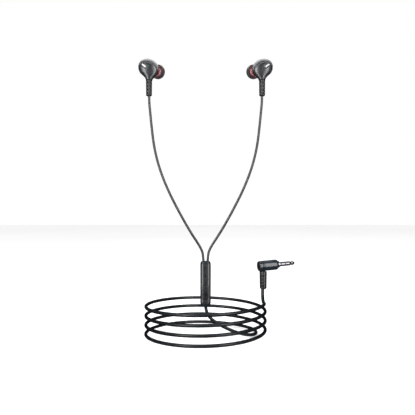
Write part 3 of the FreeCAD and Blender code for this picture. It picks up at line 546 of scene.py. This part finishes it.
def trim_rings():
    """Rings of the pillowed oval plate, from its middle out to its edge and down its side."""
    middle = Vector((TRIM_CENTRE.x, face_depth(TRIM_CENTRE.x, TRIM_CENTRE.y), TRIM_CENTRE.y))
    normal = face_normal(TRIM_CENTRE.x, TRIM_CENTRE.y)
    run = Vector((TRIM_RUN.x, 0, TRIM_RUN.y))
    run = (run - normal * run.dot(normal)).normalized()
    side = normal.cross(run)
    rings = []
    for share, height in TRIM_STEPS:
        reach = TRIM_WIDTH / 2 * share
        ring = []
        for i in range(TRIM_COLUMNS):
            angle = math.tau * i / TRIM_COLUMNS
            along = math.cos(angle) * reach
            along += TRIM_OFFSET * max(min(math.cos(angle) * 8, 1), -1) * min(1, 0.4 + 0.6 * share)
            spot = run * along + side * math.sin(angle) * reach
            ring.append(BUD + middle + spot + normal * (height + TRIM_STANDS_OUT))
        rings.append(ring)
    return rings


FACE_RINGS, SHELL_RINGS, TRIM_RINGS = face_rings(), shell_rings(), trim_rings()
BOSS_OUTLINE = softened([(2.25, 4.0, 0), (3.3, 4.0, 0), (3.3, 9.0, 0.35), (2.25, 9.0, 0.1)])
CORE_OUTLINE = softened([
    (2.65, 9.6, 0.1), (3.85, 9.6, 0.25), (3.85, 10.15, 0.25), (3.2, 10.5, 0.3), (3.2, 15.6, 0.3),
    (3.75, 16.4, 0.3), (3.75, 17.0, 0.2), (1.85, 17.0, 0.2), (1.85, 16.2, 0.1), (2.65, 16.2, 0)])
# Rows of the sleeve's and the dome's outlines that have the pale colour of the tip's inside.
SLEEVE_OUTSIDE, DOME_INSIDE = range(16, 35), range(18, 35)


def dome_outline():
    """Closed outline of the ear tip's dome, from the nose to the rim, round the lip and back inside."""
    outer = [(6.1 * math.sin(angle), 12.3 + 5.5 * math.cos(angle)) for angle in
             (math.radians(35 + 55 * i / 14) for i in range(15))]
    lip = [(6.08, 11.8), (5.98, 11.42), (5.8, 11.31), (5.62, 11.42), (5.56, 11.8)]
    inner = [(5.55 * math.sin(angle), 12.3 + 4.85 * math.cos(angle)) for angle in
             (math.radians(90 - 52 * i / 14) for i in range(15))]
    return outer + lip + inner


# ---------------------------------------------------------------- strain reliefs

RELIEF_COLUMNS, RELIEF_ROWS = 112, 150
RELIEF_WINDOWS = 4


def relief_rings(place, top, end, length, bore, window_angle, first, pitch, height, turn, slope):
    """Sleeve with ladders of windows down its front and back; a narrow spine runs between the two ladders."""
    rings = []
    levels = [0.0] + [-0.02 - (length - 0.04) * i / RELIEF_ROWS for i in range(RELIEF_ROWS + 1)]
    for level in levels:
        outer = top + (end - top) * -level / length
        outer -= 0.30 * (1 - ease(-level, 0, 0.35)) ** 2 + 0.75 * (1 - ease(level + length, 0, 0.9)) ** 2
        ring = []
        for i in range(RELIEF_COLUMNS):
            angle = math.tau * i / RELIEF_COLUMNS
            local = (angle - turn + math.pi / 2) % math.pi - math.pi / 2
            off_spine = (abs(local) - window_angle) / (window_angle * 0.62)
            tilt = slope * (abs(local) - window_angle)
            deepest = 0.0
            for number in range(RELIEF_WINDOWS):
                middle = -(first + height / 2 + pitch * number) + tilt
                across = ease(1.0 - abs(off_spine), 0.0, 0.45)
                along = ease(1.0 - abs(level - middle) / (height / 2), 0.0, 0.4)
                deepest = max(deepest, across * along)
            radius = outer - (outer - bore - 0.12) * 0.92 * deepest
            ring.append(place @ Vector((radius * math.sin(angle), -radius * math.cos(angle), level)))
        rings.append(ring)
    angles = [math.tau * i / RELIEF_COLUMNS for i in range(RELIEF_COLUMNS)]
    inner = [[place @ Vector((bore * math.sin(angle), -bore * math.cos(angle), level)) for angle in angles]
             for level in (-length, 0.0)]
    return rings + inner


NECK = BUD + Vector((NECK_OFFSET, 0, -NECK_DROP))
BUD_RELIEF = relief_rings(
    Matrix.Translation(NECK), top=2.5, end=2.38, length=12.7, bore=1.06, window_angle=math.radians(31),
    first=0.7, pitch=2.95, height=1.9, turn=0.0, slope=1.6)

for side_name, mirrored in (("left", False), ("right", True)):
    piece_from(f"{side_name}_face", FACE_RINGS, "root", [housing], [f"{side_name}_outer_shell"],
               mirrored)
    shell = piece_from(f"{side_name}_ear_side", SHELL_RINGS, "root", [ear_side],
                       [f"{side_name}_inner_shell"], mirrored)
    wall = shell.modifiers.new("wall", "SOLIDIFY")
    wall.thickness = SHELL_WALL * MM
    wall.offset = -1
    piece_from(f"{side_name}_trim", TRIM_RINGS, "root", [trim_metal],
               [f"{side_name}_trim_plate"], mirrored)
    piece_from(f"{side_name}_tube_boss", lathe_rings(BOSS_OUTLINE, TUBE_PLACE), "root",
               [ear_side], [f"{side_name}_inner_shell"], mirrored, closed=True)
    piece_from(f"{side_name}_tip_sleeve", lathe_rings(CORE_OUTLINE, TUBE_PLACE), f"{side_name}_ear_tip",
               [core_red, dome_inside], [f"{side_name}_tip_core"], mirrored, closed=True,
               second_rows=SLEEVE_OUTSIDE)
    piece_from(f"{side_name}_tip_cap", lathe_rings(dome_outline(), TUBE_PLACE, 128), f"{side_name}_ear_tip",
               [dome_grey, dome_inside], [f"{side_name}_tip_dome"], mirrored, closed=True,
               second_rows=DOME_INSIDE)
    piece_from(f"{side_name}_relief", BUD_RELIEF, "root", [relief_rubber],
               [f"{side_name}_strain_relief"], mirrored, closed=True)

# ---------------------------------------------------------------- remote


def shell_from(name, outer, inner, body, items, nodes):
    """Closed wall between two grids of points of one size; the bottom of the microphone's hole is dark."""
    build = bmesh.new()
    grids = [[[build.verts.new(mm(*point)) for point in row] for row in grid] for grid in (outer, inner)]
    rows, columns = len(outer), len(outer[0])
    for grid in grids:
        for i in range(rows - 1):
            for j in range(columns - 1):
                face = build.faces.new((grid[i][j], grid[i + 1][j], grid[i + 1][j + 1], grid[i][j + 1]))
                middle = (grid[i][j].co + grid[i + 1][j + 1].co) / 2 / MM
                face.material_index = 1 if mic_reach(middle.x, middle.z) < 1.1 else 0
    out, into = grids
    for i in range(rows - 1):
        for j in (0, columns - 1):
            build.faces.new((out[i][j], out[i + 1][j], into[i + 1][j], into[i][j]))
    for j in range(columns - 1):
        for i in (0, rows - 1):
            build.faces.new((out[i][j], out[i][j + 1], into[i][j + 1], into[i][j]))
    return finished(build, name, body, items, nodes)


REMOTE_TOP, REMOTE_BOTTOM, GROMMET = -157.95, -195.4, 2.35
REMOTE_HALF_WIDTH, REMOTE_HALF_DEPTH, REMOTE_SQUARE = 4.35, 3.0, 2.7
REMOTE_TOP_ROUND, REMOTE_BOTTOM_ROUND = 2.8, 4.4
REMOTE_TOP_SHARE, REMOTE_BOTTOM_SHARE, REMOTE_END_DEPTH = 0.60, 0.50, 0.62
REMOTE_ROWS, REMOTE_COLUMNS, REMOTE_WALL = 170, 72, 0.85
BUTTON_MIDDLE, BUTTON_RADIUS, BUTTON_HALF, BUTTON_POCKET = -183.4, 2.3, 3.6, 0.65
DIMPLE_HALF_WIDTH, DIMPLE_HALF_HEIGHT, DIMPLE_DEPTH = 2.1, 3.2, 0.3
MIC_LEVEL, MIC_HALF_WIDTH, MIC_HALF_HEIGHT, MIC_DEPTH = -170.6, 0.45, 0.7, 0.7


def remote_size(level):
    """Half width and half depth of the remote's rounded bar at a level; both ends round off."""
    top, bottom = REMOTE_TOP - level, level - REMOTE_BOTTOM
    end = min(1.0, top / REMOTE_TOP_ROUND) if top < bottom else min(1.0, bottom / REMOTE_BOTTOM_ROUND)
    rounding = math.sqrt(max(0.0, 1 - (1 - end) ** 2))
    base = REMOTE_TOP_SHARE if top < bottom else REMOTE_BOTTOM_SHARE
    share = base + (1 - base) * rounding
    depth_share = REMOTE_END_DEPTH + (1 - REMOTE_END_DEPTH) * rounding
    return REMOTE_HALF_WIDTH * share, REMOTE_HALF_DEPTH * depth_share


def remote_point(angle, level, inset=0.0):
    """Point of the rounded bar's level section; angle 0 faces the front."""
    half_width, half_depth = (part - inset for part in remote_size(level))
    power = 2 / REMOTE_SQUARE
    across, ahead = math.sin(angle), math.cos(angle)
    return Vector((half_width * math.copysign(abs(across) ** power, across),
                   -half_depth * math.copysign(abs(ahead) ** power, ahead), level))


def button_gap(x, level):
    """Distance outside the button's rounded outline, or less than nothing inside it."""
    along = min(max(level - BUTTON_MIDDLE, -BUTTON_HALF), BUTTON_HALF)
    return Vector((x, level - BUTTON_MIDDLE - along)).length - BUTTON_RADIUS


def dimple(x, level):
    """Depth of the soft thumb dimple."""
    reach = math.hypot(x / DIMPLE_HALF_WIDTH, (level - DIMPLE_LEVEL) / DIMPLE_HALF_HEIGHT)
    return DIMPLE_DEPTH * (1 - ease(reach, 0.0, 1.0))


def mic_reach(x, level):
    """How far out from the microphone's hole, whose edge is at 1."""
    return math.hypot(x / MIC_HALF_WIDTH, (level - MIC_LEVEL) / MIC_HALF_HEIGHT)


def remote_grid(front, inset):
    """Points of one half of the bar; the front has the microphone's hole and the button's pocket."""
    low, high = REMOTE_BOTTOM + GROMMET, REMOTE_TOP - GROMMET
    rows = []
    for i in range(REMOTE_ROWS + 1):
        level = low + (high - low) * i / REMOTE_ROWS
        row = []
        for j in range(REMOTE_COLUMNS + 1):
            lean = math.pi / 2 * (2 * j / REMOTE_COLUMNS - 1)
            angle = (lean if front else math.pi + lean) * 0.995
            point = remote_point(angle, level, inset)
            if front and not inset:
                point.y += MIC_DEPTH * (1 - ease(mic_reach(point.x, level), 0.75, 1.25))
                point.y += BUTTON_POCKET * (1 - ease(button_gap(point.x, level), -0.02, 0.16))
            if not inset:
                seam = abs(abs(lean) - math.pi / 2)
                end = min(level - low, high - level)
                point.x *= 1 - 0.05 * (1 - ease(seam, 0.0, 0.05)) - 0.03 * (1 - ease(end, 0.0, 0.2))
            row.append(point)
        rows.append(row)
    return rows


for part, front in (("front", True), ("back", False)):
    shell_from(f"remote_{part}_cover", remote_grid(front, 0.0), remote_grid(front, REMOTE_WALL), "root",
               [remote_satin, soft_rubber], [f"remote_{part}_shell"])


END_COLUMNS = 96
END_INSET, END_GAP = 0.03, 0.02


def end_rings(low, high):
    """Rings of a rubber end of the remote, from its middle out, up its side and back in over the cords."""
    rings = []
    steps = [(share, low) for share in (0.15, 0.5, 0.85, 0.97)]
    steps += [(1.0, low + (high - low) * i / 12) for i in range(13)]
    steps += [(share, high) for share in (0.97, 0.85, 0.5, 0.15)]
    for share, level in steps:
        around = [remote_point(math.tau * i / END_COLUMNS, level, END_INSET).xy for i in range(END_COLUMNS)]
        rings.append([Vector((*(point * share), level)) for point in around])
    return rings


piece_from("remote_top_end", end_rings(REMOTE_TOP - GROMMET + END_GAP, REMOTE_TOP - END_GAP), "root",
           [soft_rubber], ["top_grommet"])
piece_from("remote_bottom_end", end_rings(REMOTE_BOTTOM + END_GAP, REMOTE_BOTTOM + GROMMET - END_GAP), "root",
           [soft_rubber], ["bottom_grommet"])


BUTTON_STEPS = [
    (0.04, 0.0), (0.15, 0.0), (0.3, 0.0), (0.45, 0.0), (0.6, 0.0), (0.72, 0.0), (0.82, 0.0), (0.9, 0.02),
    (0.95, 0.06), (0.98, 0.13), (0.995, 0.25), (0.995, 0.9)]
BUTTON_COLUMNS = 128
BUTTON_CLEARANCE, BUTTON_SUNK = 0.1, 0.08


def button_rings():
    """Rings of the button, from its middle out to its soft edge and back to its base."""
    rings = []
    for share, drop in BUTTON_STEPS:
        ring = []
        for i in range(BUTTON_COLUMNS):
            angle = math.tau * i / BUTTON_COLUMNS
            reach = (BUTTON_RADIUS - BUTTON_CLEARANCE) * share
            x = math.cos(angle) * reach
            level = BUTTON_MIDDLE + math.sin(angle) * reach
            level += BUTTON_HALF * share * max(min(math.sin(angle) * 4, 1), -1)
            turn = math.asin(min(abs(x) / REMOTE_HALF_WIDTH, 1) ** (REMOTE_SQUARE / 2))
            front = remote_point(turn, level).y
            ring.append(Vector((x, front + BUTTON_SUNK + drop + dimple(x, level), level)))
        rings.append(ring)
    return rings


piece_from("talk_button_pad", button_rings(), "talk_button", [button_satin],
           ["remote_button"])

# ---------------------------------------------------------------- plug

PLUG_BASE = Vector((47.3, 0, -161.95))
PLUG_WAYS = Vector((0.96613, 0.249858, 0.064532))
PLUG_PLACE = axis_place(PLUG_BASE, PLUG_WAYS)
PLUG_CORD = Vector((47.3, 0, -166.35))
BODY_OUTLINE = softened([
    (3.9, -3.1, 0.05), (4.25, -3.1, 0.2), (4.2, -1.25, 0.12), (3.95, -1.2, 0.1), (3.95, -0.85, 0.1),
    (4.2, -0.8, 0.12), (4.2, -0.25, 0.1), (4.0, -0.2, 0.1), (4.0, 0.1, 0.1), (4.2, 0.15, 0.12),
    (4.2, 11.6, 1.1), (3.1, 12.8, 0.7), (1.9, 12.8, 0.1), (1.9, 12.0, 0), (3.4, 12.0, 0), (3.4, -3.0, 0)])
CAP_OUTLINE = softened([
    (0.01, -4.28, 0), (3.4, -4.28, 0.4), (4.05, -3.9, 0.3), (4.05, -3.12, 0.05), (0.01, -3.12, 0)])
PLUG_RELIEF = relief_rings(
    Matrix.Translation(PLUG_CORD), top=2.98, end=2.8, length=14.4, bore=1.41, window_angle=math.radians(36),
    first=3.0, pitch=2.75, height=1.75, turn=math.radians(22), slope=0.4)
piece_from("plug_barrel", lathe_rings(BODY_OUTLINE, PLUG_PLACE, 128), "root", [plug_gloss],
           ["plug_body"], closed=True)
piece_from("plug_back_cap", lathe_rings(CAP_OUTLINE, PLUG_PLACE), "root", [cap_gloss],
           ["plug_end_cap"])
piece_from("plug_relief", PLUG_RELIEF, "root", [relief_rubber], ["plug_strain_relief"],
           closed=True)

# ---------------------------------------------------------------- floor and lights

FLOOR_LEVEL = COIL_TOP - COIL_TURNS * COIL_PITCH - MAIN_CORD / 2 - 0.05
FLOOR_SIDE = 8.0
FLOOR_GLOW = 0.3


def stage_plane(name, side, place):
    """Square of pale paper that gives a little light of its own."""
    pale = finish(name + "_paper", grey(0.66), grey(0.69), (0.8, 0.95), 3.0, 200.0, 0.02)
    shader = pale.node_tree.nodes["Principled BSDF"]
    shader.inputs["Emission Color"].default_value = (1, 1, 1, 1)
    shader.inputs["Emission Strength"].default_value = FLOOR_GLOW
    build = bmesh.new()
    bmesh.ops.create_grid(build, x_segments=8, y_segments=8, size=0.5)
    data = bpy.data.meshes.new(name)
    build.to_mesh(data)
    build.free()
    data.materials.append(pale)
    plane = bpy.data.objects.new(name, data)
    plane.location = place
    plane.scale = (side, side, 1)
    scene.collection.objects.link(plane)
    return plane


floor = stage_plane("floor", FLOOR_SIDE, mm(0, 0, FLOOR_LEVEL))
floor.visible_glossy = False


def soft_light(name, place, target, width, height, power, shines=True):
    """Soft rectangular lamp, sizes in metres; one that doesn't shine gives light but no highlight."""
    data = bpy.data.lights.new(name, "AREA")
    data.shape = "RECTANGLE"
    data.size, data.size_y = width, height
    data.energy = power
    light = bpy.data.objects.new(name, data)
    light.location = mm(*place)
    light.rotation_euler = (mm(*target) - light.location).to_track_quat("-Z", "Y").to_euler()
    light.visible_glossy = shines
    light.visible_camera = False
    scene.collection.objects.link(light)


AIM = (0, 0, -110)
soft_light("left_softbox", (-620, -800, 150), AIM, 0.30, 1.5, 20)
soft_light("right_softbox", (620, -800, 150), AIM, 0.30, 1.5, 16)
soft_light("top_softbox", (0, 150, 900), (0, 0, -60), 1.0, 0.6, 3, shines=False)
soft_light("crown_softbox", (0, 60, 130), (0, 0, 0), 0.24, 0.10, 0.35)
world = bpy.data.worlds.new("world")
scene.world = world
world.use_nodes = True
background = world.node_tree.nodes["Background"]
background.inputs["Color"].default_value = (1, 1, 1, 1)
background.inputs["Strength"].default_value = 1.0
world.cycles_visibility.glossy = False
scene.view_settings.view_transform = "Standard"

bpy.context.view_layer.update()
